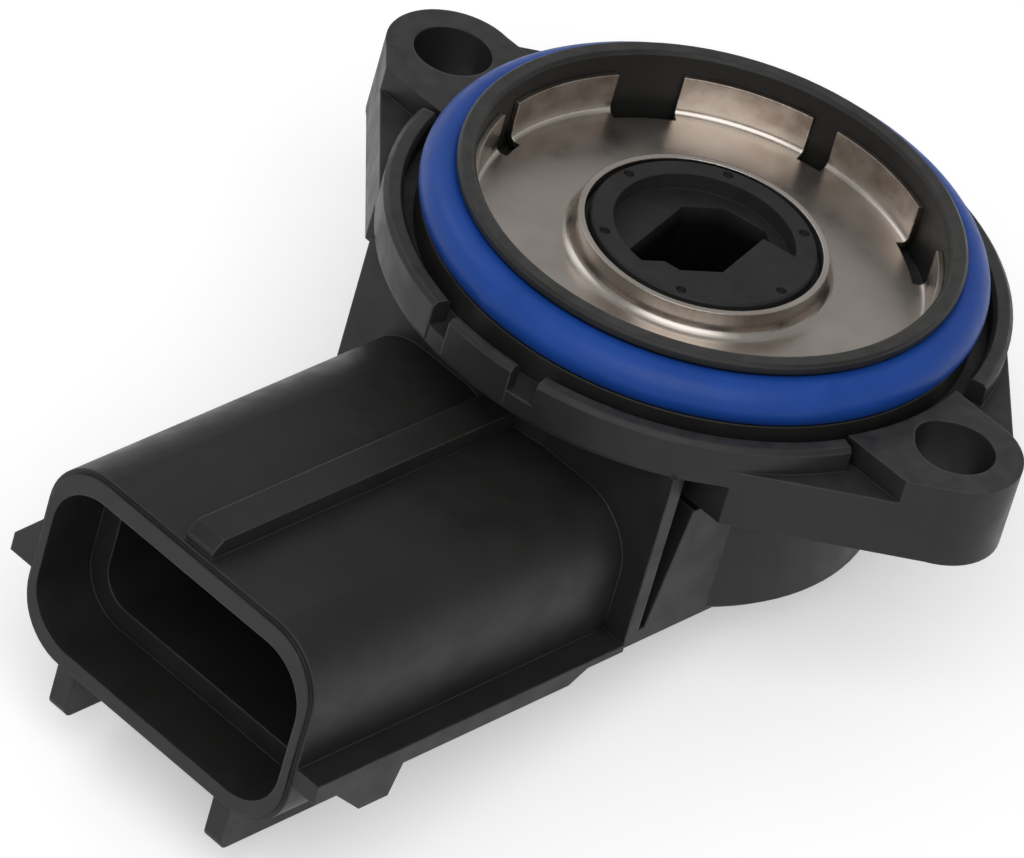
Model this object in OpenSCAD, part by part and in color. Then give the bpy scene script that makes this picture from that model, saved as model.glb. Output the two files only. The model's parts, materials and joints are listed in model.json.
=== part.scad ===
// Throttle position sensor: a rotary potentiometer in a moulded plastic housing.
// All sizes are in millimetres. The origin is on the rotor axis, in the mounting face.
// +Z points towards the throttle body, and the plug socket points towards -X.

/* [Mounting flange] */
// How far the screw holes' middles lie outside the flange's edge
screw_out = 2.45; // [2.2:0.05:4]
// Radius of the screw holes
screw_hole_r = 2.85; // [2.6:0.05:3.2]
// Radius of the relief circle beside the right screw hole
relief_r = 2.15; // [1.8:0.05:2.4]
// How far the relief circle lies towards the rotor axis
relief_shift = 0.95; // [0.6:0.05:1.1]
// Radius of the round end of each ear
ear_r = 4.85; // [4.5:0.05:5.6]
// Depth of the ears behind the mounting face
ear_depth = 6.4; // [5.4:0.1:7]
// Half width of the thick part of the ears along X
ear_half_w = 14; // [12:0.1:15]
// Half width of the raised pad around a screw hole, on the plug side
pad_plug_w = 5.9; // [5:0.1:6.4]
// Gap between the seal ring and the rim
rim_gap = 0.4; // [0.3:0.05:0.8]
// Width of the rim
rim_w = 1.45; // [1.2:0.05:1.8]
// Width of the short middle piece of the rim
rim_mid_w = 1.05; // [0.8:0.05:1.2]
// Depth of the flange's back behind the mounting face
flange_depth = 3.3; // [2.8:0.1:4]
// Height of the rim and the pads above the flange plate
rim_h = 1.9; // [1.2:0.1:2.2]
// Width of the fine bevel along the rim's edges
rim_bevel = 0.3; // [0.1:0.05:0.4]

/* [Collar and seal] */
// Width of the ledge that carries the steel cup
seat_w = 1; // [0.8:0.05:1.4]
// Wall of the collar behind the seal ring
collar_wall = 0.63; // [0.5:0.01:1]
// Radius of the seal ring's cord
seal_cord_r = 1.55; // [1.4:0.01:1.7]
// Height of the cord's middle above the mounting face
seal_mid_z = 1.78; // [1.7:0.01:1.9]
// Height of the collar above the mounting face
collar_h = 4.05; // [3.9:0.05:4.6]
// How far the collar's lip stands out past the seal groove
lip_out = 0.67; // [0.4:0.01:0.9]
// Height of that lip
lip_h = 0.75; // [0.5:0.05:0.8]
// How far the shoulder under the seal ring ends outside the cord's middle
shoulder_out = 0.9; // [0.5:0.05:1.2]

/* [Drum and body block] */
// Wall between the chamber and the drum's outside
drum_wall = 1.5; // [1.3:0.05:2]
// Thickness of the drum's floor
floor_t = 1.5; // [1.3:0.05:1.8]
// How far the body block is wider than the socket, on each side
block_out = 2; // [1.5:0.1:2.4]
// How far the block's top lies above the socket's top
block_rise = 1; // [0.5:0.1:1.5]
// Wall between the chamber and the bulkhead's front face
bulkhead_wall = 1.1; // [1:0.05:2]
// Thickness of the bulkhead
bulkhead_t = 1.2; // [1:0.05:1.3]
// Gap between the bulkhead's front and the block, at the block's top
slot_top_w = 3.4; // [2.8:0.1:4]
// The same gap at the block's bottom
slot_low_w = 1.6; // [1.4:0.1:2.4]
// Depth in Y of the open pockets between the block and the bulkhead
pocket_w = 4; // [3:0.1:5]
// Thickness of the strip that closes those pockets below
strip_t = 1.2; // [0.8:0.1:1.6]

/* [Plug socket] */
// Length of the socket in front of the bulkhead
socket_len = 30.3; // [28:0.1:35]
// Width of the socket along Y
socket_w = 26; // [25:0.1:27]
// Height of the socket
socket_h = 16.45; // [15.8:0.05:17]
// Outer corner radius of the socket
socket_corner_r = 4.75; // [4:0.05:5.5]
// Side wall of the socket at its mouth
side_wall = 1; // [0.9:0.05:1.3]
// Top wall of the socket at its mouth
top_wall = 1.85; // [1.5:0.05:2]
// Bottom wall of the socket at its mouth
bottom_wall = 1.55; // [1.4:0.05:1.8]
// Corner radius of the mouth
mouth_corner_r = 4; // [3.4:0.05:4.4]
// Depth of the wide mouth, up to the inner ledge
mouth_depth = 5.2; // [4.4:0.1:7]
// Width of the inner ledge all round
ledge_w = 1.7; // [1.4:0.05:1.75]
// Thickness of the wall behind the narrow cavity
rear_wall = 7.1; // [6:0.1:10]
// Width and depth of the small step around the mouth's lip
lip_step = 0.35; // [0.2:0.05:0.5]
// Width of the rib along the top
top_rib_w = 2.6; // [2:0.1:3.4]
// Height of the rib above the socket's top
top_rib_h = 1.4; // [0.8:0.1:1.8]
// Distance from the mouth to the rib's front end
top_rib_set = 0.7; // [0.5:0.1:3]
// How far each side rail stands out from the socket
rail_out = 2.1; // [1.6:0.05:2.3]
// How far the side rails' top lies below the blades' middle
rail_drop = 1.125; // [0.9:0.025:1.3]
// Thickness of the side rails
rail_t = 1.5; // [1.2:0.05:1.8]
// Thickness of the side rails beside the bulkhead
rail_rear_t = 0.6; // [0.5:0.05:0.9]
// Length of that thin part of the rails
rail_rear_len = 5.1; // [4:0.1:8]
// Height of the latch ramps under the rails
latch_h = 2.6; // [2:0.1:3.2]
// Length of the latch ramps
latch_len = 6.6; // [6:0.1:8]
// Distance from the mouth to the latch ramps
latch_set = 2.4; // [1.5:0.1:4]
// Height of the two ribs under the socket
foot_h = 3.65; // [2.5:0.05:4.5]
// Thickness of those ribs
foot_t = 1.6; // [1.2:0.05:2]
// Distance between the middles of those ribs
foot_gap = 15.6; // [13:0.1:17]
// Length of those ribs
foot_len = 20; // [12:0.5:26]
// Radius of the ribs' front corners
foot_corner_r = 0.8; // [0.5:0.1:1.2]

/* [Retainer cup] */
// Thickness of the sheet steel
cup_t = 0.45; // [0.35:0.01:0.5]
// Depth of the cup's floor behind the mounting face
cup_floor = 0.75; // [0.65:0.01:0.85]
// Height of the tabs above the mounting face
tab_top = 2.35; // [1.8:0.05:3]
// Inner radius of the bend between floor and tabs
bend_r = 0.5; // [0.4:0.05:0.7]
// Width in degrees of the wide gaps between tabs
wide_gap = 17; // [12:0.5:20]
// Width in degrees of the narrow gaps between tabs
narrow_gap = 7; // [5:0.5:9]
// Direction in degrees of the first wide gap
wide_dir = 58.6; // [50:0.2:65]
// Direction in degrees of the first narrow gap
narrow_dir = 13; // [8:0.2:20]
// How far the gaps are cut in from the cup's rim
slot_in = 1.35; // [1.2:0.05:1.6]
// Height of the neck's lip above the mounting face
neck_top = 1.14; // [0.9:0.02:1.25]
// How far the neck's foot lies outside its lip
neck_flare = 0.55; // [0.3:0.05:0.8]

/* [Rotor] */
// Length of the drive socket
drive_l = 10.4; // [9:0.1:10.6]
// Width of the drive socket
drive_w = 6.6; // [5.6:0.1:7]
// Depth of the drive socket below the mounting face
drive_depth = 7; // [6.5:0.1:7.4]
// Turn of the drive socket about the axis, in degrees
drive_turn = 13; // [0:1:30]
// Size of the two large cut corners of the drive socket
drive_cut = 2.2; // [1.5:0.1:2.6]
// Size of its two small cut corners
drive_cut_small = 1; // [0.5:0.1:1.4]
// Depth of the recess in the rotor's face
recess_d = 1.3; // [0.8:0.05:1.6]
// Width of the flat ring between the recess and the journal
face_ring_w = 1.92; // [1.6:0.02:2.2]
// Height of the rotor's face above the mounting face
rotor_top = 1.3; // [1.28:0.01:1.5]
// How far the face is smaller than the journal
face_step = 0.35; // [0.2:0.05:0.5]
// Depth of that step
face_step_d = 1; // [0.6:0.05:1.2]
// Wall between the ends of the drive socket and the hub's outside
hub_wall = 1.4; // [1.2:0.05:1.6]
// How far the upper journal is larger than the hub
journal_out = 1.82; // [1.7:0.02:2]
// How far the shoulder is larger than the journal
shoulder_w = 3.2; // [3:0.05:3.4]
// Thickness of the shoulder
shoulder_t = 1.6; // [1.4:0.05:1.8]
// Radius of the pivot pin on the chamber's floor
pivot_r = 3; // [2.8:0.05:3.2]
// Wall of the hub's lower end around the pivot
hub_low_wall = 1.92; // [1.7:0.02:2.1]
// Running clearance of the journals, on the radius
run_gap = 0.08; // [0.05:0.01:0.09]
// Angle that the rotor turns between its stops
sweep = 100; // [85:1:105]
// Width in degrees of the rotor's stop lug
lug_deg = 20; // [14:1:22]
// Direction in degrees of the stop lug's middle at rest
lug_dir = 90; // [85:1:95]

/* [Spring and washers] */
// Radius of the spring's wire
wire_r = 0.45; // [0.35:0.01:0.5]
// Gap between the hub and the spring's turns
coil_gap = 0.6; // [0.4:0.05:0.8]
// Number of turns
turns = 4.25; // [4.25:1:5.25]
// Pitch of the turns
pitch = 1.25; // [1.2:0.01:1.3]
// Thickness of the wave washer's strip
wave_t = 0.25; // [0.2:0.01:0.3]
// Height of its waves
wave_h = 0.5; // [0.3:0.01:0.52]
// Thickness of the thrust washer
thrust_t = 0.5; // [0.4:0.01:0.55]

/* [Element and contacts] */
// Thickness of the element board
board_t = 1; // [0.8:0.05:1.1]
// Gap between the element board and the chamber's wall
board_gap = 1.4; // [0.8:0.05:1.8]
// How far the board reaches outside the middle of the outer track
board_margin = 2.2; // [2:0.05:2.6]
// Thickness of the printed tracks
track_t = 0.06; // [0.04:0.01:0.1]
// Distance from the hub's lower end to the middle of the inner track
track_in = 3.8; // [3.6:0.05:4.2]
// Distance between the middles of the two tracks
track_step = 3.4; // [3.2:0.05:3.8]
// Width of both tracks
track_w = 1.6; // [1.4:0.05:1.8]
// Width in degrees of both tracks
track_deg = 128; // [122:1:136]
// Thickness of the wiper's spring sheet
wiper_t = 0.2; // [0.15:0.01:0.25]
// Thickness of the moulded wiper carrier
carrier_t = 1.2; // [1:0.05:1.3]
// Gap between the spring and the wiper carrier
carrier_gap = 1.49; // [1:0.01:2]
// Room for the wiper's fingers between the carrier and the board
finger_room = 2.5; // [2.3:0.05:2.8]
// Width of one wiper finger
finger_w = 0.7; // [0.5:0.05:0.8]
// Reach of the wiper's fingers along the track
finger_reach = 5.2; // [4.8:0.1:5.6]
// Distance between the blade terminals
blade_gap = 5; // [4.6:0.1:5.4]
// Width of the blade terminals
blade_w = 2.8; // [2.2:0.1:3]
// Thickness of the blade terminals
blade_t = 0.8; // [0.6:0.02:0.82]
// How far the blades' middle lies below the board's face
blade_drop = 0.875; // [0.8:0.025:1]
// Distance from the mouth to the blades' tips
blade_set = 8; // [6:0.1:9]

/* [Hidden] */
$fn = 96;
eps = 0.01;
tight = 0.02;
// How far what stands on the flange plate reaches into it
sink = 0.5;
// How far the plate's own edge lies inside the rim's outer face
plate_set_back = 0.06;
// How far straight sides stay inside the round they run up to
tangent_set = 0.05;

// Rotor radii, from the drive socket outwards
hub_r = drive_l / 2 + hub_wall;
journal_r = hub_r + journal_out;
shoulder_disc_r = journal_r + shoulder_w;
recess_r = journal_r - face_ring_w;
coil_r = hub_r + coil_gap + wire_r;
hub_low_r = pivot_r + run_gap + hub_low_wall;

// Housing radii, from the tracks outwards
inner_track_r = hub_low_r + track_in;
outer_track_r = inner_track_r + track_step;
board_r = outer_track_r + board_margin;
chamber_r = board_r + board_gap;
drum_r = chamber_r + drum_wall;
collar_in_r = chamber_r + seat_w;
groove_r = collar_in_r + collar_wall;
lip_r = groove_r + lip_out;
seal_mid_r = groove_r + tight + seal_cord_r;
shoulder_r = seal_mid_r + shoulder_out;
rim_in_r = seal_mid_r + seal_cord_r + rim_gap;
flange_r = rim_in_r + rim_w;
screw_offset = flange_r + screw_out;

// Angles where the rim's pieces start and end
rim_end = 107.6;
rim_notch = [168, 172.8];
rim_notch_2 = [188.3, 193.8];
rim_end_2 = 252.4;
rim_back_end = 71;

// Depth levels, from the cup's seat down to the drum's back
seat_z = -cup_floor - cup_t;
stack_gap = 0.2;
disc_top = seat_z - wave_t - wave_h - thrust_t - stack_gap;
disc_low = disc_top - shoulder_t;
spring_gap = 0.25;
spring_top = disc_low - spring_gap - wire_r;
spring_low = spring_top - turns * pitch;
carrier_top = spring_low - wire_r - carrier_gap;
carrier_low = carrier_top - carrier_t;
board_top = carrier_low - finger_room;
chamber_floor = board_top - board_t;
drum_depth = -chamber_floor + floor_t;
back_z = -drum_depth + 0.1;
hub_bottom = board_top + 1;
pivot_top = -drive_depth - 1.5;

// Socket section, placed around the blades
blade_z = board_top - blade_drop;
mouth_w = socket_w - 2 * side_wall;
mouth_h = socket_h - top_wall - bottom_wall;
mouth_mid_z = blade_z;
socket_top = -mouth_mid_z - mouth_h / 2 - top_wall;
socket_mid_z = -socket_top - socket_h / 2;
socket_low = -socket_top - socket_h;
cavity_w = mouth_w - 2 * ledge_w;
cavity_h = mouth_h - 2 * ledge_w;
bulkhead_x = chamber_r + bulkhead_wall;
mouth_x = bulkhead_x + socket_len;
front_x = -mouth_x + lip_step;
cavity_rear_x = -bulkhead_x - rear_wall;
blade_tip_x = -mouth_x + blade_set;
blade_rear_x = -chamber_r + 2.2;
rail_half_w = socket_w / 2 + rail_out;
rail_top = -blade_z + rail_drop;
rail_low = -rail_top - rail_t;

// Body block
block_half_w = socket_w / 2 + block_out;
block_top = socket_top - block_rise;
block_front_top = bulkhead_x - slot_top_w;
block_front_low = bulkhead_x - slot_low_w;

// Rotor, stop and wiper directions
wiper_dir = -sweep / 2;
stop_deg = 12;
stop_gap = 0.8;
stop_in_r = shoulder_disc_r + 0.5;
lug_r = chamber_r - 0.6;

// Spring legs, and the peg and the post that hold them
leg_low_dir = 290;
leg_low_r = chamber_r - 2.95;
leg_top_dir = leg_low_dir + 360 * turns;
leg_top_r = shoulder_disc_r - 0.77;
leg_bend = 1.2;
peg_r = 0.7;
peg_h = 2.2;
peg_at_r = shoulder_disc_r - 1.57;
peg_dir = leg_top_dir - (wire_r + peg_r + tight) / peg_at_r * 180 / PI;
post_dir = leg_low_dir + (wire_r + tight) / (stop_in_r - 1) * 180 / PI;
post_deg = 8;
wire_sides = 8;
coil_steps = round(turns * 24);

// Key of the wiper carrier, stakes of the wiper, and solder pads
key_w = 1.6;
stake_r = 0.5;
stake_at = [inner_track_r + 1, 3.1];
stake_h = 0.6;
wiper_edge = 1.1;
pad_x = chamber_r - 4.3;
pad_size = 2;
lead_w = 0.8;
clip_w = 1.6;
clip_foot_x = -sqrt(pow(chamber_r, 2) - pow(blade_gap + clip_w / 2, 2)) + 0.1;

housing_black = [0.13, 0.13, 0.13];

function polar(r, a) = [r * cos(a), r * sin(a)];
function arc(r, from, to, steps = 24) =
    [for (i = [0:steps]) polar(r, from + (to - from) * i / steps)];

// A pie slice, for cutting and for intersecting rings
module slice(r, from, to) {
    steps = max(2, ceil(abs(to - from) / 15));
    reach = r / cos(abs(to - from) / steps / 2);
    polygon(concat([[0, 0]], arc(reach, from, to, steps)));
}

// A flat ring segment with true round edges
module ring_segment(in_r, out_r, from, to) {
    intersection() {
        difference() {
            circle(out_r);
            circle(in_r);
        }
        slice(out_r + 1, from, to);
    }
}

module rounded_rectangle(w, h, r) {
    square([w - 2 * r, h], center = true);
    square([w, h - 2 * r], center = true);
    for (x = [-1, 1], y = [-1, 1])
        translate([x * (w / 2 - r), y * (h / 2 - r)]) circle(r);
}

// Places a section drawn as [Y, Z] so that it runs along X
module along_x(from_x, to_x) {
    translate([from_x, 0, 0]) rotate([90, 0, 90])
        linear_extrude(to_x - from_x) children();
}

// Places a side view drawn as [X, Z] so that it runs along Y
module along_y(from_y, to_y) {
    translate([0, to_y, 0]) rotate([90, 0, 0])
        linear_extrude(to_y - from_y) children();
}

// Straight sides of an ear, from its round end to the flange's edge
module ear_sides() {
    lean = asin((flange_r - ear_r) / screw_offset);
    side_r = flange_r - plate_set_back - tangent_set;
    end_r = ear_r - tangent_set;
    polygon([
        polar(side_r, lean),
        [0, screw_offset] + polar(end_r, lean),
        [0, screw_offset] + polar(end_r, 180 - lean),
        polar(side_r, 180 - lean),
    ]);
}

module flange_outline() {
    circle(flange_r - plate_set_back);
    ear_sides();
    mirror([0, 1]) ear_sides();
}

// Straight part of the raised pad beside a screw hole
module pad_outline() {
    lean = asin((flange_r - ear_r) / screw_offset);
    end_r = ear_r - tangent_set;
    polygon([
        [end_r, screw_offset / 2],
        [end_r, screw_offset],
        [0, screw_offset],
        [0, screw_offset] + polar(end_r, 180 - lean),
        [-pad_plug_w, screw_offset + (end_r - pad_plug_w * cos(lean)) / sin(lean)],
        [-pad_plug_w, screw_offset / 2],
    ]);
}

// Round end and pad of an ear, up to the mounting face
module ear_top() {
    difference() {
        union() {
            translate([0, screw_offset, -ear_depth]) cylinder(h = ear_depth, r = ear_r);
            translate([0, 0, -rim_h - sink]) linear_extrude(rim_h + sink) pad_outline();
        }
        translate([0, 0, -rim_h]) cylinder(h = rim_h + 1, r = rim_in_r);
        translate([0, 0, -ear_depth - 1]) cylinder(h = ear_depth + 2, r = collar_in_r + 1);
    }
}

// Section of the rim, with a fine bevel along its edges
module rim_section(w) {
    in_r = flange_r - w;
    polygon([
        [in_r, -rim_h - sink],
        [in_r, -rim_bevel],
        [in_r + rim_bevel, 0],
        [flange_r - rim_bevel, 0],
        [flange_r, -rim_bevel],
        [flange_r, -flange_depth + 0.2],
        [flange_r - 0.4, -flange_depth + 0.2],
        [flange_r - 0.4, -rim_h - sink],
    ]);
}

module rim_piece(w, from, to) {
    rotate([0, 0, from]) rotate_extrude(angle = to - from) rim_section(w);
}

module flange() {
    translate([0, 0, -flange_depth]) linear_extrude(flange_depth - rim_h) flange_outline();
    for (side = [0, 1]) mirror([0, side, 0]) {
        translate([0, 0, -ear_depth]) linear_extrude(ear_depth - rim_h) intersection() {
            flange_outline();
            translate([-ear_half_w, drum_r / 2])
                square([2 * ear_half_w, screw_offset + ear_r]);
        }
        ear_top();
    }
    rim_piece(rim_w, rim_end, rim_notch[0]);
    rim_piece(rim_mid_w, rim_notch[1], rim_notch_2[0]);
    rim_piece(rim_w, rim_notch_2[1], rim_end_2);
    rim_piece(rim_w, -rim_back_end, rim_back_end);
}

// Section of the collar with its lip, seal seat and shoulder
module collar_section() {
    shoulder_z = seal_mid_z - seal_cord_r - tight;
    polygon([
        [collar_in_r, -rim_h - sink],
        [collar_in_r, collar_h - 0.25],
        [collar_in_r + 0.25, collar_h],
        [lip_r - 0.2, collar_h],
        [lip_r, collar_h - 0.2],
        [lip_r, collar_h - lip_h],
        [groove_r, collar_h - lip_h - 0.1],
        [groove_r, shoulder_z],
        [shoulder_r, shoulder_z],
        [shoulder_r, -rim_h - sink],
    ]);
}

// Side view of the body block with its slanted front edge
module block_profile() {
    polygon([
        [0, back_z],
        [-block_front_low, back_z],
        [-block_front_top, -block_top],
        [0, -block_top],
    ]);
}

module body_block() {
    along_y(-block_half_w, block_half_w) block_profile();
    // Solid core that joins the drum to the bulkhead
    translate([-bulkhead_x + eps, -block_half_w + pocket_w, back_z])
        cube([bulkhead_x - 5, 2 * (block_half_w - pocket_w), drum_depth - flange_depth]);
    along_x(-bulkhead_x, -bulkhead_x + bulkhead_t)
        polygon([
            [-block_half_w, -flange_depth + eps],
            [-block_half_w, back_z],
            [block_half_w, back_z],
            [block_half_w, -flange_depth + eps],
        ]);
    along_y(-block_half_w, block_half_w)
        translate([-bulkhead_x + eps, back_z])
            square([bulkhead_x - block_front_low + 1, strip_t]);
}

// Side view of a rail: its underside steps up at its rear end
module rail_profile() {
    rear_x = -bulkhead_x + eps;
    step_x = -bulkhead_x - rail_rear_len;
    rise = rail_t - rail_rear_t;
    polygon([
        [front_x, -rail_top],
        [rear_x, -rail_top],
        [rear_x, rail_low + rise],
        [step_x + 1.8 * rise, rail_low + rise],
        [step_x, rail_low],
        [front_x, rail_low],
    ]);
}

module latch_profile() {
    front = -mouth_x + latch_set;
    ramp = 0.47 * latch_len;
    back_ramp = 0.7;
    polygon([
        [front, rail_low + eps],
        [front + ramp, rail_low - latch_h],
        [front + latch_len - back_ramp, rail_low - latch_h],
        [front + latch_len, rail_low + eps],
    ]);
}

// Side view of a rib under the socket, with a rounded front corner
module foot_profile() {
    low = socket_low - foot_h;
    rear_x = front_x + foot_len;
    polygon([
        [front_x, socket_low + 1],
        [front_x, low + foot_corner_r],
        [front_x + foot_corner_r, low],
        [rear_x - foot_h, low],
        [rear_x, socket_low],
        [rear_x, socket_low + 1],
    ]);
    translate([front_x + foot_corner_r, low + foot_corner_r]) circle(foot_corner_r, $fn = 48);
}

module socket_body() {
    translate([0, 0, socket_mid_z]) {
        along_x(front_x, -bulkhead_x + eps)
            rounded_rectangle(socket_w, socket_h, socket_corner_r);
        along_x(-mouth_x, front_x + eps)
            rounded_rectangle(socket_w - 2 * lip_step, socket_h - 2 * lip_step,
                socket_corner_r - lip_step);
    }
    rib_front = -mouth_x + top_rib_set;
    along_y(-top_rib_w / 2, top_rib_w / 2) polygon([
        [rib_front, -socket_top - 1],
        [rib_front, -socket_top + top_rib_h - 0.8],
        [rib_front + 0.8, -socket_top + top_rib_h],
        [-bulkhead_x + eps, -socket_top + top_rib_h],
        [-bulkhead_x + eps, -socket_top - 1],
    ]);
    for (side = [0, 1]) mirror([0, side, 0]) {
        along_y(socket_w / 2 - 1, rail_half_w) rail_profile();
        along_y(socket_w / 2, rail_half_w) latch_profile();
        along_y(foot_gap / 2 - foot_t / 2, foot_gap / 2 + foot_t / 2) foot_profile();
    }
    // Keying web above the front of the left rail
    along_x(front_x, front_x + 3)
        polygon([
            [socket_w / 2 - 0.5, -rail_top - eps],
            [rail_half_w, -rail_top - eps],
            [socket_w / 2 - 0.3, -rail_top + 3.1],
            [socket_w / 2 - 0.5, -rail_top + 3.1],
        ]);
}

module socket_space() {
    translate([0, 0, mouth_mid_z]) {
        along_x(-mouth_x - 1, -mouth_x + mouth_depth)
            rounded_rectangle(mouth_w, mouth_h, mouth_corner_r);
        along_x(-mouth_x - 1, cavity_rear_x)
            rounded_rectangle(cavity_w, cavity_h, mouth_corner_r - ledge_w);
    }
}

// Stops for the rotor's lug and the post that holds the spring's fixed leg
module chamber_ribs() {
    translate([0, 0, disc_low - 2]) linear_extrude(seat_z - 0.3 - disc_low + 2) {
        ring_segment(stop_in_r, chamber_r + 0.5,
            lug_dir - lug_deg / 2 - stop_gap - stop_deg, lug_dir - lug_deg / 2 - stop_gap);
        ring_segment(stop_in_r, chamber_r + 0.5,
            lug_dir + sweep + lug_deg / 2 + stop_gap,
            lug_dir + sweep + lug_deg / 2 + stop_gap + stop_deg);
    }
    translate([0, 0, spring_low - 1.2]) linear_extrude(3.4)
        ring_segment(stop_in_r - 1, chamber_r + 0.5, post_dir, post_dir + post_deg);
}

module housing() {
    color(housing_black) difference() {
        union() {
            difference() {
                union() {
                    flange();
                    rotate_extrude() collar_section();
                    rotate_extrude() polygon([
                        [0, -flange_depth],
                        [0, -drum_depth],
                        [drum_r - 0.5, -drum_depth],
                        [drum_r, -drum_depth + 0.5],
                        [drum_r, -flange_depth],
                    ]);
                    body_block();
                    socket_body();
                }
                translate([0, 0, chamber_floor])
                    cylinder(h = -chamber_floor + 1, r = chamber_r);
                translate([0, 0, seat_z]) cylinder(h = 2, r = collar_in_r);
            }
            chamber_ribs();
            translate([0, 0, chamber_floor - eps])
                cylinder(h = pivot_top - chamber_floor + eps, r = pivot_r);
        }
        for (side = [-1, 1]) translate([0, side * screw_offset, -ear_depth - 1])
            cylinder(h = ear_depth + 2, r = screw_hole_r);
        translate([0, -screw_offset + relief_shift, -ear_depth - 1])
            cylinder(h = ear_depth + 2, r = relief_r);
        socket_space();
        for (i = [-1, 0, 1]) blade(i, cavity_rear_x - 1);
    }
}

module seal_ring() {
    color([0.1, 0.22, 0.65]) translate([0, 0, seal_mid_z])
        rotate_extrude() translate([seal_mid_r, 0]) circle(seal_cord_r, $fn = 48);
}

// Section of the cup: neck, floor, bend and tab in one sheet
module cup_section() {
    floor_z = -cup_floor;
    out_r = collar_in_r - tight;
    bend_mid_r = out_r - cup_t - bend_r;
    neck_in_r = journal_r + run_gap;
    neck_foot_r = neck_in_r + cup_t + neck_flare;
    polygon(concat(
        [[neck_in_r, floor_z - cup_t + 0.5]],
        [[neck_in_r, neck_top]],
        [[neck_in_r + cup_t, neck_top]],
        [for (i = [0:6]) [
            neck_foot_r + 0.4 - (0.4 + neck_flare) * cos(15 * i),
            floor_z + 0.9 - 0.9 * sin(15 * i)
        ]],
        [for (i = [0:6]) [
            bend_mid_r + bend_r * sin(15 * i),
            floor_z + bend_r - bend_r * cos(15 * i)
        ]],
        [[out_r - cup_t, tab_top]],
        [[out_r, tab_top]],
        [for (i = [6:-1:0]) [
            bend_mid_r + (bend_r + cup_t) * sin(15 * i),
            floor_z + bend_r - (bend_r + cup_t) * cos(15 * i)
        ]],
        [[neck_in_r + 0.5, floor_z - cup_t]]
    ));
}

module retainer_cup() {
    color([0.72, 0.7, 0.67]) difference() {
        rotate_extrude() cup_section();
        translate([0, 0, -cup_floor - cup_t - 1]) linear_extrude(tab_top + cup_floor + cup_t + 2)
            for (quarter = [0:90:270]) {
                ring_segment(collar_in_r - slot_in, collar_in_r + 1,
                    wide_dir + quarter - wide_gap / 2, wide_dir + quarter + wide_gap / 2);
                ring_segment(collar_in_r - slot_in, collar_in_r + 1,
                    narrow_dir + quarter - narrow_gap / 2, narrow_dir + quarter + narrow_gap / 2);
            }
    }
}

// Wavy spring washer between the cup's floor and the thrust washer
module wave_washer() {
    in_r = journal_r + 0.9;
    out_r = shoulder_disc_r - 0.4;
    steps = 72;
    mid_z = seat_z - tight - (wave_h + wave_t) / 2;
    ring = function (r, z) [
        for (i = [0:steps - 1]) let (a = 360 * i / steps)
            [r * cos(a), r * sin(a), mid_z + z + wave_h / 2 * cos(3 * a)]
    ];
    points = concat(ring(in_r, -wave_t / 2), ring(out_r, -wave_t / 2),
        ring(out_r, wave_t / 2), ring(in_r, wave_t / 2));
    faces = [for (side = [0:3], i = [0:steps - 1], half = [0, 1])
        let (j = (i + 1) % steps, a = side * steps, b = ((side + 1) % 4) * steps)
            half == 0 ? [a + i, b + i, b + j] : [a + i, b + j, a + j]];
    color([0.6, 0.6, 0.58]) polyhedron(points, faces);
}

module thrust_washer() {
    color([0.85, 0.82, 0.72]) translate([0, 0, disc_top + tight]) difference() {
        cylinder(h = thrust_t, r = shoulder_disc_r - 0.2);
        translate([0, 0, -1]) cylinder(h = thrust_t + 2, r = journal_r + 0.15);
    }
}

// Outline of the drive socket: a slot with two large and two small cut corners
module drive_outline() {
    l = drive_l / 2;
    w = drive_w / 2;
    big = drive_cut;
    small = drive_cut_small;
    polygon([
        [l, -w + small], [l, w - big], [l - big, w], [-l + small, w],
        [-l, w - small], [-l, -w + big], [-l + big, -w], [l - small, -w],
    ]);
}

// Recess in the rotor's face; the face stays whole on the keyed side of the slot
module recess_outline() {
    key_v = -drive_w / 2 + 0.8;
    key_u = -drive_l / 2 + 2.7;
    difference() {
        circle(recess_r);
        polygon([
            [drive_l / 4, -recess_r - 1],
            [drive_l / 4, key_v],
            [key_u, key_v],
            [key_u - recess_r, key_v + recess_r],
            [key_u - recess_r, -recess_r - 1],
        ]);
    }
}

module drive_space() {
    rotate([0, 0, drive_turn]) {
        translate([0, 0, -drive_depth]) linear_extrude(drive_depth + rotor_top + 1)
            drive_outline();
        translate([0, 0, rotor_top - recess_d]) linear_extrude(recess_d + 1) recess_outline();
    }
}

module rotor() {
    color([0.16, 0.16, 0.16]) difference() {
        union() {
            rotate_extrude() polygon([
                [0, rotor_top],
                [journal_r - face_step - 0.15, rotor_top],
                [journal_r - face_step, rotor_top - 0.15],
                [journal_r - face_step, rotor_top - face_step_d],
                [journal_r, rotor_top - face_step_d],
                [journal_r, disc_top],
                [shoulder_disc_r, disc_top],
                [shoulder_disc_r, disc_low],
                [hub_r, disc_low],
                [hub_r, carrier_top],
                [hub_low_r, carrier_top],
                [hub_low_r, hub_bottom],
                [0, hub_bottom],
            ]);
            translate([0, 0, disc_low]) linear_extrude(shoulder_t)
                ring_segment(shoulder_disc_r - 1, lug_r,
                    lug_dir - lug_deg / 2, lug_dir + lug_deg / 2);
            translate([0, 0, disc_low - peg_h]) linear_extrude(peg_h + eps)
                translate(polar(peg_at_r, peg_dir)) circle(peg_r);
            rotate([0, 0, wiper_dir]) translate([hub_low_r - 1, -key_w / 2, carrier_low])
                cube([hub_r - hub_low_r + 1, key_w, carrier_t + eps]);
        }
        drive_space();
        translate([0, 0, hub_bottom - 1])
            cylinder(h = pivot_top + 0.3 - hub_bottom + 1, r = pivot_r + run_gap);
        for (i = [0:5]) translate(concat(polar(journal_r - 1.02, 31 + 60 * i), rotor_top - 0.3))
            cylinder(h = 1, r = 0.38, $fn = 24);
    }
}

function coil_point(a, z, r) = [r * cos(a), r * sin(a), z];

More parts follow.
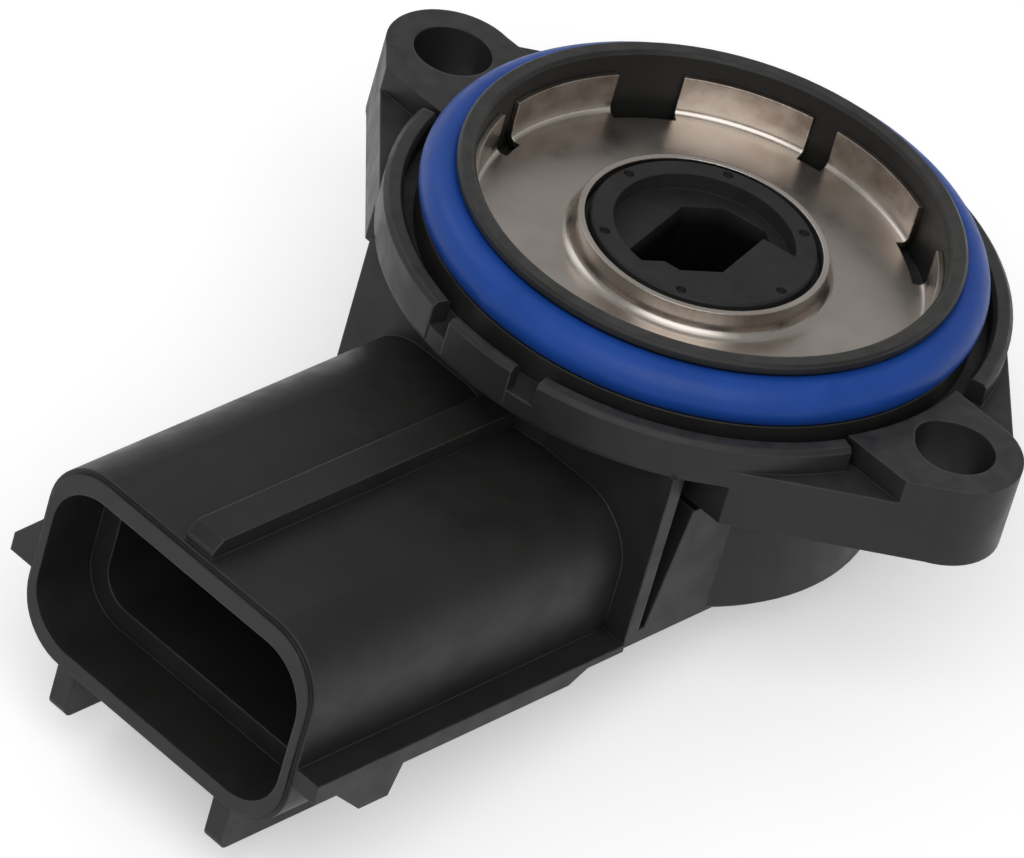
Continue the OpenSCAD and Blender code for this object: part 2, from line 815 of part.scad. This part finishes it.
// The spring's wire: a lower leg, the turns, and an upper leg
wire_path = concat(
    [coil_point(leg_low_dir, spring_low, leg_low_r)],
    [coil_point(leg_low_dir, spring_low, coil_r + leg_bend)],
    [for (i = [1:coil_steps - 1]) coil_point(
        leg_low_dir + 360 * turns * i / coil_steps,
        spring_low + pitch * turns * i / coil_steps, coil_r)],
    [coil_point(leg_top_dir, spring_top, coil_r + leg_bend)],
    [coil_point(leg_top_dir, spring_top, leg_top_r)]
);

function unit(v) = v / norm(v);
function path_dir(i) = unit(wire_path[min(i + 1, len(wire_path) - 1)] - wire_path[max(i - 1, 0)]);

module return_spring() {
    count = len(wire_path);
    points = [for (i = [0:count - 1], k = [0:wire_sides - 1])
        let (
            ahead = path_dir(i),
            side = unit(cross(ahead, [0, 0, 1])),
            up = cross(side, ahead),
            a = 360 * k / wire_sides
        ) wire_path[i] + wire_r * (cos(a) * side + sin(a) * up)];
    skin = [for (i = [0:count - 2], k = [0:wire_sides - 1], half = [0, 1])
        let (
            j = (k + 1) % wire_sides,
            a = i * wire_sides,
            b = a + wire_sides
        ) half == 0 ? [a + k, b + k, b + j] : [a + k, b + j, a + j]];
    start = [for (k = [0:wire_sides - 1]) k];
    end = [for (k = [wire_sides - 1:-1:0]) (count - 1) * wire_sides + k];
    color([0.75, 0.75, 0.76]) polyhedron(points, concat(skin, [start, end]));
}

// Moulded arm that carries the wiper, keyed to the rotor's lower end
module wiper_carrier() {
    color([0.88, 0.86, 0.8]) rotate([0, 0, wiper_dir]) {
        translate([0, 0, carrier_low]) linear_extrude(carrier_t) difference() {
            union() {
                circle(hub_r + 1.2);
                ring_segment(0, outer_track_r + 1.6, -24, 24);
            }
            circle(hub_low_r + tight);
            translate([0, -key_w / 2 - tight])
                square([hub_r + tight, key_w + 2 * tight]);
        }
        for (side = [-1, 1]) translate([stake_at[0], side * stake_at[1], carrier_low - stake_h])
            cylinder(h = stake_h + eps, r = stake_r);
    }
}

// Side view of one wiper finger, drawn along the direction of travel
module finger_profile() {
    root_z = carrier_low - tight - wiper_t;
    tip_z = board_top + track_t + 0.04;
    bend_x = -finger_reach + 0.6;
    end_x = -finger_reach - 0.7;
    end_z = tip_z + 2.5 * wiper_t;
    polygon([
        [-0.6, root_z + wiper_t],
        [-0.6, root_z],
        [-1.4, root_z],
        [bend_x, tip_z],
        [-finger_reach, tip_z],
        [end_x, end_z],
        [end_x, end_z + wiper_t],
        [-finger_reach + wiper_t / 2, tip_z + wiper_t],
        [bend_x, tip_z + wiper_t],
        [-1.3, root_z + wiper_t],
    ]);
}

// Spring sheet with two pairs of fingers, one pair for each track
module wiper() {
    base_z = carrier_low - tight - wiper_t;
    color([0.83, 0.72, 0.42]) rotate([0, 0, wiper_dir]) {
        translate([0, 0, base_z]) linear_extrude(wiper_t) difference() {
            translate([inner_track_r - wiper_edge, -1.2])
                square([track_step + 2 * wiper_edge, stake_at[1] + 2.3]);
            translate(stake_at) circle(stake_r + tight);
        }
        for (track_r = [inner_track_r, outer_track_r], side = [-1, 1])
            translate([track_r + side * 0.5 - finger_w / 2, 0, 0])
                rotate([0, 0, 90]) mirror([0, 1, 0]) along_y(0, finger_w) finger_profile();
    }
}

module element_board() {
    color([0.9, 0.88, 0.82]) translate([0, 0, chamber_floor]) linear_extrude(board_t)
        difference() {
            circle(board_r);
            circle(pivot_r + 0.6);
            translate([-board_r - 1, -board_r]) square([board_r + 1 - pad_x - 1.5, 2 * board_r]);
        }
}

module on_board() {
    translate([0, 0, board_top]) linear_extrude(track_t) children();
}

module track(r) {
    on_board() ring_segment(r - track_w / 2, r + track_w / 2, -track_deg / 2, track_deg / 2);
}

module resistive_track() {
    color([0.08, 0.08, 0.09]) track(outer_track_r);
}

module collector_track() {
    color([0.2, 0.2, 0.22]) track(inner_track_r);
}

// Printed conductor from the end of a track to its solder pad
module lead(r, to, pad_y) {
    color([0.78, 0.78, 0.76]) on_board() {
        ring_segment(r - lead_w / 2, r + lead_w / 2, track_deg / 2, to);
        translate([-pad_x - pad_size / 2, pad_y - pad_size / 2]) square(pad_size);
    }
}

module lead_supply() {
    lead(outer_track_r, 180 - asin(blade_gap / outer_track_r), blade_gap);
}

module lead_ground() {
    mirror([0, 1, 0]) lead(outer_track_r, 180 - asin(blade_gap / outer_track_r), blade_gap);
}

module lead_signal() {
    lead(inner_track_r, 180 - 2, 0);
    color([0.78, 0.78, 0.76]) on_board()
        translate([-pad_x, -lead_w / 2]) square([pad_x - inner_track_r + lead_w / 2, lead_w]);
}

// Folded strip that joins a blade to its pad on the board
module clip(i) {
    low = blade_z + blade_t / 2;
    high = board_top + track_t;
    color([0.83, 0.72, 0.42])
        along_y(i * blade_gap - clip_w / 2, i * blade_gap + clip_w / 2) polygon([
            [clip_foot_x, low],
            [blade_rear_x - 0.3, low],
            [blade_rear_x + 0.1, high],
            [-pad_x + 0.8, high],
            [-pad_x + 0.8, high + wiper_t],
            [blade_rear_x, high + wiper_t],
            [blade_rear_x - 0.45, low + wiper_t],
            [clip_foot_x, low + wiper_t],
        ]);
}

module clip_supply() { clip(1); }
module clip_signal() { clip(0); }
module clip_ground() { clip(-1); }

// Flat blade with a bevelled tip; the housing is moulded around its rear half
module blade(i, tip_x) {
    side = blade_w / 2;
    translate([0, i * blade_gap, blade_z - blade_t / 2]) linear_extrude(blade_t) polygon([
        [tip_x, -side + 0.6],
        [tip_x + 0.9, -side],
        [blade_rear_x, -side],
        [blade_rear_x, side],
        [tip_x + 0.9, side],
        [tip_x, side - 0.6],
    ]);
}

module terminal(i) {
    color([0.8, 0.8, 0.78]) blade(i, blade_tip_x);
}

module terminal_supply() { terminal(1); }
module terminal_signal() { terminal(0); }
module terminal_ground() { terminal(-1); }

housing();
seal_ring();
retainer_cup();
wave_washer();
thrust_washer();
rotor();
return_spring();
wiper_carrier();
wiper();
element_board();
resistive_track();
collector_track();
lead_supply();
lead_signal();
lead_ground();
clip_supply();
clip_signal();
clip_ground();
terminal_supply();
terminal_signal();
terminal_ground();
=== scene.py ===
import json
import math

import bpy
import numpy as np
from mathutils import Matrix, Vector


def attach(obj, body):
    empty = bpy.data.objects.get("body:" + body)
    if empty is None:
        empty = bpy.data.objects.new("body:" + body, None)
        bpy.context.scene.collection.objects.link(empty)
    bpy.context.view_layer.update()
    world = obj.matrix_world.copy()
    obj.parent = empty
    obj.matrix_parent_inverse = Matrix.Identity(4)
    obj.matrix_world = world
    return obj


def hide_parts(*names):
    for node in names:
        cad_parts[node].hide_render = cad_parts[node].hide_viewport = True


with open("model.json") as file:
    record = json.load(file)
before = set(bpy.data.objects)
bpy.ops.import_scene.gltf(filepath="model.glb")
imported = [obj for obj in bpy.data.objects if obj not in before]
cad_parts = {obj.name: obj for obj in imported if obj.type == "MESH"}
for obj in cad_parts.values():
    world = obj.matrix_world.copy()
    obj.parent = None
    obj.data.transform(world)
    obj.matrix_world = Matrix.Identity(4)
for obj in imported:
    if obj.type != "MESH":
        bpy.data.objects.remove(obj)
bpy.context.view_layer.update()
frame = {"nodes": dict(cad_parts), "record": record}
nodes = frame["nodes"]
mm = 0.001
print("frame loaded:", len(nodes), "nodes")


# Small helpers

def linear(hexColour):
    # sRGB hex to linear light, by the standard two-part curve
    parts = [int(hexColour[i:i + 2], 16) / 255 for i in (1, 3, 5)]
    return tuple(p / 12.92 if p <= 0.04045 else ((p + 0.055) / 1.055) ** 2.4 for p in parts) + (1.0,)


def addNode(tree, kind, settings=None, links=None):
    # Adds one node; settings go to its sockets or properties, links feed its sockets
    node = tree.nodes.new(kind)
    for name, value in (settings or {}).items():
        if isinstance(name, int) or name in node.inputs:
            node.inputs[name].default_value = value
        else:
            setattr(node, name, value)
    for name, source in (links or {}).items():
        tree.links.new(source, node.inputs[name])
    return node


def newMaterial(name):
    material = bpy.data.materials.new(name)
    material.use_nodes = True
    tree = material.node_tree
    tree.nodes.clear()
    output = addNode(tree, "ShaderNodeOutputMaterial")
    return material, tree, output


def objectPoint(tree):
    return addNode(tree, "ShaderNodeTexCoord").outputs["Object"]


def flatPoint(tree):
    # The point's place around the rotor axis, without its height
    return addNode(tree, "ShaderNodeVectorMath", {"operation": "MULTIPLY", 1: (1, 1, 0)},
                   {0: objectPoint(tree)}).outputs["Vector"]


def upPart(tree, vector):
    return addNode(tree, "ShaderNodeSeparateXYZ", None, {"Vector": vector}).outputs["Z"]


def noise(tree, size, detail=3.0, roughness=0.55):
    # size is the width of one blotch in millimetres
    return addNode(tree, "ShaderNodeTexNoise",
                   {"Scale": 1 / (size * mm), "Detail": detail, "Roughness": roughness},
                   {"Vector": objectPoint(tree)}).outputs["Fac"]


def ramp(tree, source, low, high, fromLow=0.35, fromHigh=0.65):
    # Runs from low to high while the source runs between its ends, which are a noise's usual ones
    return addNode(tree, "ShaderNodeMapRange",
                   {"From Min": fromLow, "From Max": fromHigh, "To Min": low, "To Max": high},
                   {"Value": source}).outputs["Result"]


def mixColour(tree, factor, first, second):
    node = addNode(tree, "ShaderNodeMix", {"data_type": "RGBA"}, {"Factor": factor})
    node.inputs[6].default_value = linear(first)
    node.inputs[7].default_value = linear(second)
    return node.outputs[2]


def overColour(tree, factor, under, hexColour):
    # Lays one plain colour over another colour as far as the factor says
    node = addNode(tree, "ShaderNodeMix", {"data_type": "RGBA"}, {"Factor": factor})
    tree.links.new(under, node.inputs[6])
    node.inputs[7].default_value = linear(hexColour)
    return node.outputs[2]


def product(tree, first, second):
    return addNode(tree, "ShaderNodeMath", {"operation": "MULTIPLY"}, {0: first, 1: second}).outputs[0]


def larger(tree, first, second):
    return addNode(tree, "ShaderNodeMath", {"operation": "MAXIMUM"}, {0: first, 1: second}).outputs[0]


def rounded(tree, radius):
    # The normal of an edge rounded by this radius in millimetres
    return addNode(tree, "ShaderNodeBevel", {"samples": 6, "Radius": radius * mm}).outputs["Normal"]


def bumped(tree, height, strength, depth, normal=None):
    # Raises the height over the surface, or over a normal that is already made, by a depth in millimetres
    links = {"Height": height}
    if normal is not None:
        links["Normal"] = normal
    return addNode(tree, "ShaderNodeBump", {"Strength": strength, "Distance": depth * mm},
                   links).outputs["Normal"]


def coat(tree, output, settings, links):
    shader = addNode(tree, "ShaderNodeBsdfPrincipled", settings, links)
    tree.links.new(shader.outputs["BSDF"], output.inputs["Surface"])


# Materials

def glassFilledNylon():
    # Glass-filled nylon, injection moulded: a nearly black satin with a very fine grain. Its moulded edges
    # carry a thin pale line in patches, a painted highlight, and the flange's upward faces are a little
    # greyer, painted top light in scuff blotches
    look = {"grain": 0.22, "grainDepth": 0.02, "grainStrength": 0.12, "cloud": 9.0,
            "flow": 2.2, "roughLow": 0.38, "roughHigh": 0.5,
            "edge": 0.2, "paintedEdgeHighlight": 0.8, "lineBent": 0.82, "lineFlat": 0.995, "patchLow": 0.35,
            "groove": 0.9, "lineShut": 0.62, "lineOpen": 0.8,
            "dark": 0.85, "darkShut": 0.3, "darkOpen": 0.72,
            "plateZ": -2.1, "plateTopZ": -1.8, "scuff": 1.4, "leaning": 0.9, "level": 0.99}
    material, tree, output = newMaterial("glassFilledNylon")
    edge = rounded(tree, look["edge"])
    normal = bumped(tree, noise(tree, look["grain"], 2.0), look["grainStrength"], look["grainDepth"], edge)
    # An edge is where the rounded normal leaves the face's own normal; there the colour is paler, a painted
    # highlight
    face = addNode(tree, "ShaderNodeNewGeometry").outputs["True Normal"]
    turned = addNode(tree, "ShaderNodeVectorMath", {"operation": "DOT_PRODUCT"}, {0: edge, 1: face})
    patchiness = ramp(tree, noise(tree, look["scuff"], 5.0), look["patchLow"], 1.0)
    bright = ramp(tree, turned.outputs["Value"], look["paintedEdgeHighlight"], 0, look["lineBent"], look["lineFlat"])
    # A groove is where the walls close in: no painted edge highlight there, and a darker colour, painted
    # shade
    hollow = addNode(tree, "ShaderNodeAmbientOcclusion", {"samples": 4, "Distance": look["groove"] * mm})
    openness = hollow.outputs["AO"]
    inOpen = ramp(tree, openness, 0, 1, look["lineShut"], look["lineOpen"])
    paintedEdgeHighlight = product(tree, product(tree, bright, patchiness), inOpen)
    # Greyer where a face looks up and lies on the flange plate or above it: painted top light, in scuff
    # blotches
    onPlate = ramp(tree, upPart(tree, objectPoint(tree)), 0, 1, look["plateZ"] * mm, look["plateTopZ"] * mm)
    upward = ramp(tree, upPart(tree, face), 0, 1, look["leaning"], look["level"])
    scuffAndPaintedTopLight = product(tree, product(tree, onPlate, upward), patchiness)
    skin = mixColour(tree, ramp(tree, noise(tree, look["cloud"]), 0, 1), "#1f1f1e", "#252423")
    # Painted top light: the greyer colour on upward faces of the flange
    skin = overColour(tree, scuffAndPaintedTopLight, skin, "#373635")
    # Painted highlight: the pale colour along edges
    skin = overColour(tree, paintedEdgeHighlight, skin, "#4c4b4a")
    # Painted shade: the colour goes nearly black where ambient occlusion finds a groove
    paintedGrooveShade = ramp(tree, openness, look["dark"], 0, look["darkShut"], look["darkOpen"])
    coat(tree, output, {"IOR": 1.5, "Specular IOR Level": 0.3}, {
        "Base Color": overColour(tree, paintedGrooveShade, skin, "#0b0b0b"),
        "Roughness": ramp(tree, noise(tree, look["flow"]), look["roughLow"], look["roughHigh"]),
        "Normal": normal,
    })
    return material


def rotorNylon():
    # Unfilled nylon, injection moulded: charcoal satin, with painted shade that turns it nearly black down
    # in the drive socket
    look = {"noShadeZ": 0.2, "fullShadeZ": -1.6, "edge": 0.12, "grain": 0.3, "grainDepth": 0.02,
            "grainStrength": 0.15, "cloud": 3.0, "flow": 1.2, "roughLow": 0.46, "roughHigh": 0.6}
    material, tree, output = newMaterial("rotorNylon")
    normal = bumped(tree, noise(tree, look["grain"]), look["grainStrength"], look["grainDepth"],
                    rounded(tree, look["edge"]))
    height = upPart(tree, objectPoint(tree))
    # Painted shade: the colour darkens towards black further down into the drive socket
    paintedSocketShade = ramp(tree, height, 1, 0, look["fullShadeZ"] * mm, look["noShadeZ"] * mm)
    skin = mixColour(tree, ramp(tree, noise(tree, look["cloud"]), 0, 1), "#242424", "#2a2a2a")
    coat(tree, output, {"IOR": 1.5, "Specular IOR Level": 0.2}, {
        "Base Color": overColour(tree, paintedSocketShade, skin, "#070707"),
        "Roughness": ramp(tree, noise(tree, look["flow"]), look["roughLow"], look["roughHigh"]),
        "Normal": normal,
    })
    return material


def siliconeRubber():
    # Silicone rubber, compression moulded: strong blue with a soft broad shine
    look = {"grain": 0.5, "grainDepth": 0.02, "grainStrength": 0.1, "cloud": 4.0,
            "flow": 1.0, "roughLow": 0.36, "roughHigh": 0.46}
    material, tree, output = newMaterial("siliconeRubber")
    coat(tree, output, {"IOR": 1.43, "Specular IOR Level": 0.3}, {
        "Base Color": mixColour(tree, ramp(tree, noise(tree, look["cloud"]), 0, 1), "#16418f", "#1a4597"),
        "Roughness": ramp(tree, noise(tree, look["flow"]), look["roughLow"], look["roughHigh"]),
        "Normal": bumped(tree, noise(tree, look["grain"], 4.0), look["grainStrength"], look["grainDepth"]),
    })
    return material


def rolledSteel():
    # Stainless strip, rolled and then drawn: warm grey satin, softly clouded and wavy, with softened
    # edges and a browner tint in blotches on the tabs, at the cup's outer radius and upper height
    look = {"cloud": 5.0, "wave": 7.0, "waveDepth": 0.12, "waveStrength": 0.25,
            "grain": 0.35, "grainDepth": 0.01, "grainStrength": 0.04,
            "tint": 2.4, "tintLow": 0.3, "tabLowZ": -0.4, "tabHighZ": 0.6, "floorR": 12.0, "tabR": 14.0,
            "roughLow": 0.24, "roughHigh": 0.34, "edge": 0.17}
    material, tree, output = newMaterial("rolledSteel")
    wave = bumped(tree, noise(tree, look["wave"], 1.0), look["waveStrength"], look["waveDepth"],
                  rounded(tree, look["edge"]))
    grain = bumped(tree, noise(tree, look["grain"]), look["grainStrength"], look["grainDepth"], wave)
    cloud = noise(tree, look["cloud"])
    height = upPart(tree, objectPoint(tree))
    onTab = ramp(tree, height, 0, 1, look["tabLowZ"] * mm, look["tabHighZ"] * mm)
    distance = addNode(tree, "ShaderNodeVectorMath", {"operation": "LENGTH"}, {0: flatPoint(tree)})
    outer = ramp(tree, distance.outputs["Value"], 0, 1, look["floorR"] * mm, look["tabR"] * mm)
    blotch = ramp(tree, noise(tree, look["tint"]), look["tintLow"], 1)
    tinted = product(tree, product(tree, onTab, outer), blotch)
    skin = mixColour(tree, ramp(tree, cloud, 0, 1), "#bdb4ac", "#c9c2bb")
    coat(tree, output, {"Metallic": 1.0}, {
        "Base Color": overColour(tree, tinted, skin, "#93877d"),
        "Roughness": ramp(tree, cloud, look["roughLow"], look["roughHigh"]),
        "Normal": grain,
    })
    return material


def plainMetal(name, first, second, rough):
    # Stamped or drawn metal: softly clouded colour, and handling marks in its shine
    look = {"cloud": 1.5, "marks": 0.6, "smoother": 0.06, "rougher": 0.08}
    material, tree, output = newMaterial(name)
    marks = noise(tree, look["marks"])
    coat(tree, output, {"Metallic": 1.0}, {
        "Base Color": mixColour(tree, ramp(tree, noise(tree, look["cloud"]), 0, 1), first, second),
        "Roughness": ramp(tree, marks, rough - look["smoother"], rough + look["rougher"]),
    })
    return material


def plainMoulding(name, first, second, rough):
    # Moulded, printed or fired material: an even body with slight clouding and a fine grain
    look = {"cloud": 2.0, "grain": 0.25, "grainDepth": 0.02, "grainStrength": 0.15,
            "flow": 0.8, "spread": 0.08}
    material, tree, output = newMaterial(name)
    coat(tree, output, {"IOR": 1.5}, {
        "Base Color": mixColour(tree, ramp(tree, noise(tree, look["cloud"]), 0, 1), first, second),
        "Roughness": ramp(tree, noise(tree, look["flow"]), rough - look["spread"], rough + look["spread"]),
        "Normal": bumped(tree, noise(tree, look["grain"]), look["grainStrength"], look["grainDepth"]),
    })
    return material


finishes = {
    "housing_plastic": glassFilledNylon(),
    "rotor_plastic": rotorNylon(),
    "seal_rubber": siliconeRubber(),
    "cup_steel": rolledSteel(),
    "spring_steel": plainMetal("drawnSpringSteel", "#9a9a9c", "#b4b4b6", 0.28),
    "contact_alloy": plainMetal("stampedBronze", "#c49a5c", "#d6b074", 0.3),
    "lead_silver": plainMetal("printedSilver", "#c8c7c2", "#d8d7d2", 0.4),
    "terminal_tin": plainMetal("tinPlatedBrass", "#b9b8b2", "#cfcec8", 0.32),
    "bearing_plastic": plainMoulding("acetal", "#dcd6c6", "#e6e1d2", 0.45),
    "board_ceramic": plainMoulding("firedAlumina", "#dedacd", "#e9e6da", 0.6),
    "track_ink": plainMoulding("carbonInk", "#141416", "#1c1c1f", 0.5),
}
slotOf = {part["node"]: part["material_slot"] for part in frame["record"]["subparts"]}
for name, part in nodes.items():
    part.data.materials.clear()
    part.data.materials.append(finishes[slotOf[name]])
print("materials set:", len(finishes))


# Seal ring, seated

def addSealRing():
    # A round rubber section carried once round the rotor axis and pressed into its groove. A point's
    # radius is the middle's plus the cord's times the cosine, and its height the same with the sine.
    # Neither falls below the groove's wall or the shoulder, so the section is flat where it bears
    ring = {"middleR": 18.51, "cordR": 1.75, "middleZ": 1.42, "wallR": 17.45, "shoulderZ": 0.22,
            "around": 240, "section": 40}
    turn = np.linspace(0, 2 * np.pi, ring["around"], endpoint=False)[:, None]
    tilt = np.linspace(0, 2 * np.pi, ring["section"], endpoint=False)[None, :]
    radius = np.maximum(ring["middleR"] + ring["cordR"] * np.cos(tilt), ring["wallR"]) * mm
    height = np.maximum(ring["middleZ"] + ring["cordR"] * np.sin(tilt), ring["shoulderZ"]) * mm
    places = np.broadcast_arrays(radius * np.cos(turn), radius * np.sin(turn), height)
    points = np.stack(places, axis=-1).reshape(-1, 3)
    index = np.arange(len(points)).reshape(ring["around"], ring["section"])
    onward = np.roll(index, -1, axis=0)
    corners = (index, onward, np.roll(onward, -1, axis=1), np.roll(index, -1, axis=1))
    faces = np.stack(corners, axis=-1).reshape(-1, 4)
    mesh = bpy.data.meshes.new("sealRing")
    mesh.from_pydata(points.tolist(), [], faces.tolist())
    mesh.polygons.foreach_set("use_smooth", np.ones(len(faces), dtype=bool))
    mesh.materials.append(finishes["seal_rubber"])
    sealRing = bpy.data.objects.new("sealRing", mesh)
    bpy.context.scene.collection.objects.link(sealRing)
    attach(sealRing, "sensor_body")
    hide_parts("seal_ring")


addSealRing()
print("seal ring seated")


# Floor, lights and camera

def seenDirectly(tree):
    # 1 for what the camera, a mirror or a glass shows, 0 for light on its way
    path = addNode(tree, "ShaderNodeLightPath")
    mirrored = larger(tree, path.outputs["Is Camera Ray"], path.outputs["Is Glossy Ray"])
    return larger(tree, mirrored, path.outputs["Is Transmission Ray"])


def seamlessPaper():
    # White seamless paper: it glows a little where it is seen or mirrored, and throws back less light
    paper = {"seen": "#e6e6e6", "light": "#7a7a7a", "glow": 0.38}
    material, tree, output = newMaterial("seamlessPaper")
    seen = seenDirectly(tree)
    sheet = addNode(tree, "ShaderNodeBsdfDiffuse", None,
                    {"Color": mixColour(tree, seen, paper["light"], paper["seen"])})
    strength = addNode(tree, "ShaderNodeMath", {"operation": "MULTIPLY", 1: paper["glow"]}, {0: seen})
    glow = addNode(tree, "ShaderNodeEmission", None, {"Strength": strength.outputs[0]})
    both = addNode(tree, "ShaderNodeAddShader", None,
                   {0: sheet.outputs["BSDF"], 1: glow.outputs["Emission"]})
    tree.links.new(both.outputs["Shader"], output.inputs["Surface"])
    return material


def addFloor():
    # The sensor rests on the rear corners of its two lower ribs and on the drum's far edge. The floor
    # is one flat sheet through them, and its height rises evenly along x
    rest = {"ribX": -30.5, "ribZ": -28.5, "drumX": 16.8, "drumZ": -18.4, "half": 900.0, "below": 0.05}
    slope = (rest["drumZ"] - rest["ribZ"]) / (rest["drumX"] - rest["ribX"])
    corners = [(-1, -1), (1, -1), (1, 1), (-1, 1)]
    points = [(x * rest["half"] * mm, y * rest["half"] * mm,
               (rest["drumZ"] - rest["below"] + slope * (x * rest["half"] - rest["drumX"])) * mm)
              for x, y in corners]
    mesh = bpy.data.meshes.new("floor")
    mesh.from_pydata(points, [], [(0, 1, 2, 3)])
    mesh.materials.append(seamlessPaper())
    floor = bpy.data.objects.new("floor", mesh)
    bpy.context.scene.collection.objects.link(floor)


def addWorld():
    # A white tent: pale at the horizon and greyer overhead, softer in the light that it gives
    tent = {"horizon": 1.0, "overhead": 0.34, "lowest": 0.08, "highest": 0.6, "light": 0.5}
    world = bpy.data.worlds.new("studio")
    bpy.context.scene.world = world
    world.use_nodes = True
    tree = world.node_tree
    tree.nodes.clear()
    direction = addNode(tree, "ShaderNodeTexCoord").outputs["Generated"]
    shade = ramp(tree, upPart(tree, direction), tent["horizon"], tent["overhead"],
                 tent["lowest"], tent["highest"])
    camera = addNode(tree, "ShaderNodeLightPath").outputs["Is Camera Ray"]
    strength = addNode(tree, "ShaderNodeMix", {"data_type": "FLOAT", 2: tent["light"]},
                       {"Factor": seenDirectly(tree), 3: larger(tree, shade, camera)})
    background = addNode(tree, "ShaderNodeBackground", {"Color": (1, 1, 1, 1)},
                         {"Strength": strength.outputs[0]})
    addNode(tree, "ShaderNodeOutputWorld", None, {"Surface": background.outputs["Background"]})


def addSoftBox(name, box):
    # One soft box, in metres and watts, which faces the sensor
    light = bpy.data.lights.new(name, "AREA")
    light.shape = "RECTANGLE"
    light.size, light.size_y = box["size"]
    light.energy = box["watts"]
    lamp = bpy.data.objects.new(name, light)
    bpy.context.scene.collection.objects.link(lamp)
    lamp.location = box["place"]
    lamp.rotation_euler = (-Vector(box["place"])).to_track_quat("-Z", "Y").to_euler()


def addCamera():
    # The photograph's view: azimuth, elevation and roll in degrees, distance and shifts in metres,
    # lens and sensor in millimetres
    view = {"azimuth": -55.077, "elevation": 36.387, "roll": 16.539, "distance": 0.742323,
            "right": 0.0130056, "up": 0.0126002, "lens": 378.08, "sensor": 36.0,
            "near": 0.01, "far": 10.0}
    azimuth, elevation, roll = (math.radians(view[k]) for k in ("azimuth", "elevation", "roll"))
    back = Vector((math.sin(azimuth) * math.cos(elevation),
                   -math.cos(azimuth) * math.cos(elevation), math.sin(elevation)))
    flat = Vector((math.cos(azimuth), math.sin(azimuth), 0))
    upright = back.cross(flat)
    right = flat * math.cos(roll) + upright * math.sin(roll)
    up = upright * math.cos(roll) - flat * math.sin(roll)
    place = back * view["distance"] - right * view["right"] - up * view["up"]
    data = bpy.data.cameras.new("photoCamera")
    data.sensor_width = view["sensor"]
    data.lens = view["lens"]
    data.clip_start = view["near"]
    data.clip_end = view["far"]
    camera = bpy.data.objects.new("photoCamera", data)
    bpy.context.scene.collection.objects.link(camera)
    camera.matrix_world = Matrix((
        (right.x, up.x, back.x, place.x),
        (right.y, up.y, back.y, place.y),
        (right.z, up.z, back.z, place.z),
        (0, 0, 0, 1)))
    bpy.context.scene.camera = camera


addFloor()
addWorld()
addSoftBox("keyBox", {"place": (-0.45, -0.34, 0.58), "size": (0.8, 0.8), "watts": 3.6})
addSoftBox("backBox", {"place": (-0.05, 0.60, 0.50), "size": (0.5, 0.3), "watts": 0.6})
addCamera()
bpy.context.scene.view_settings.view_transform = "Standard"
print("floor, lights and camera set")
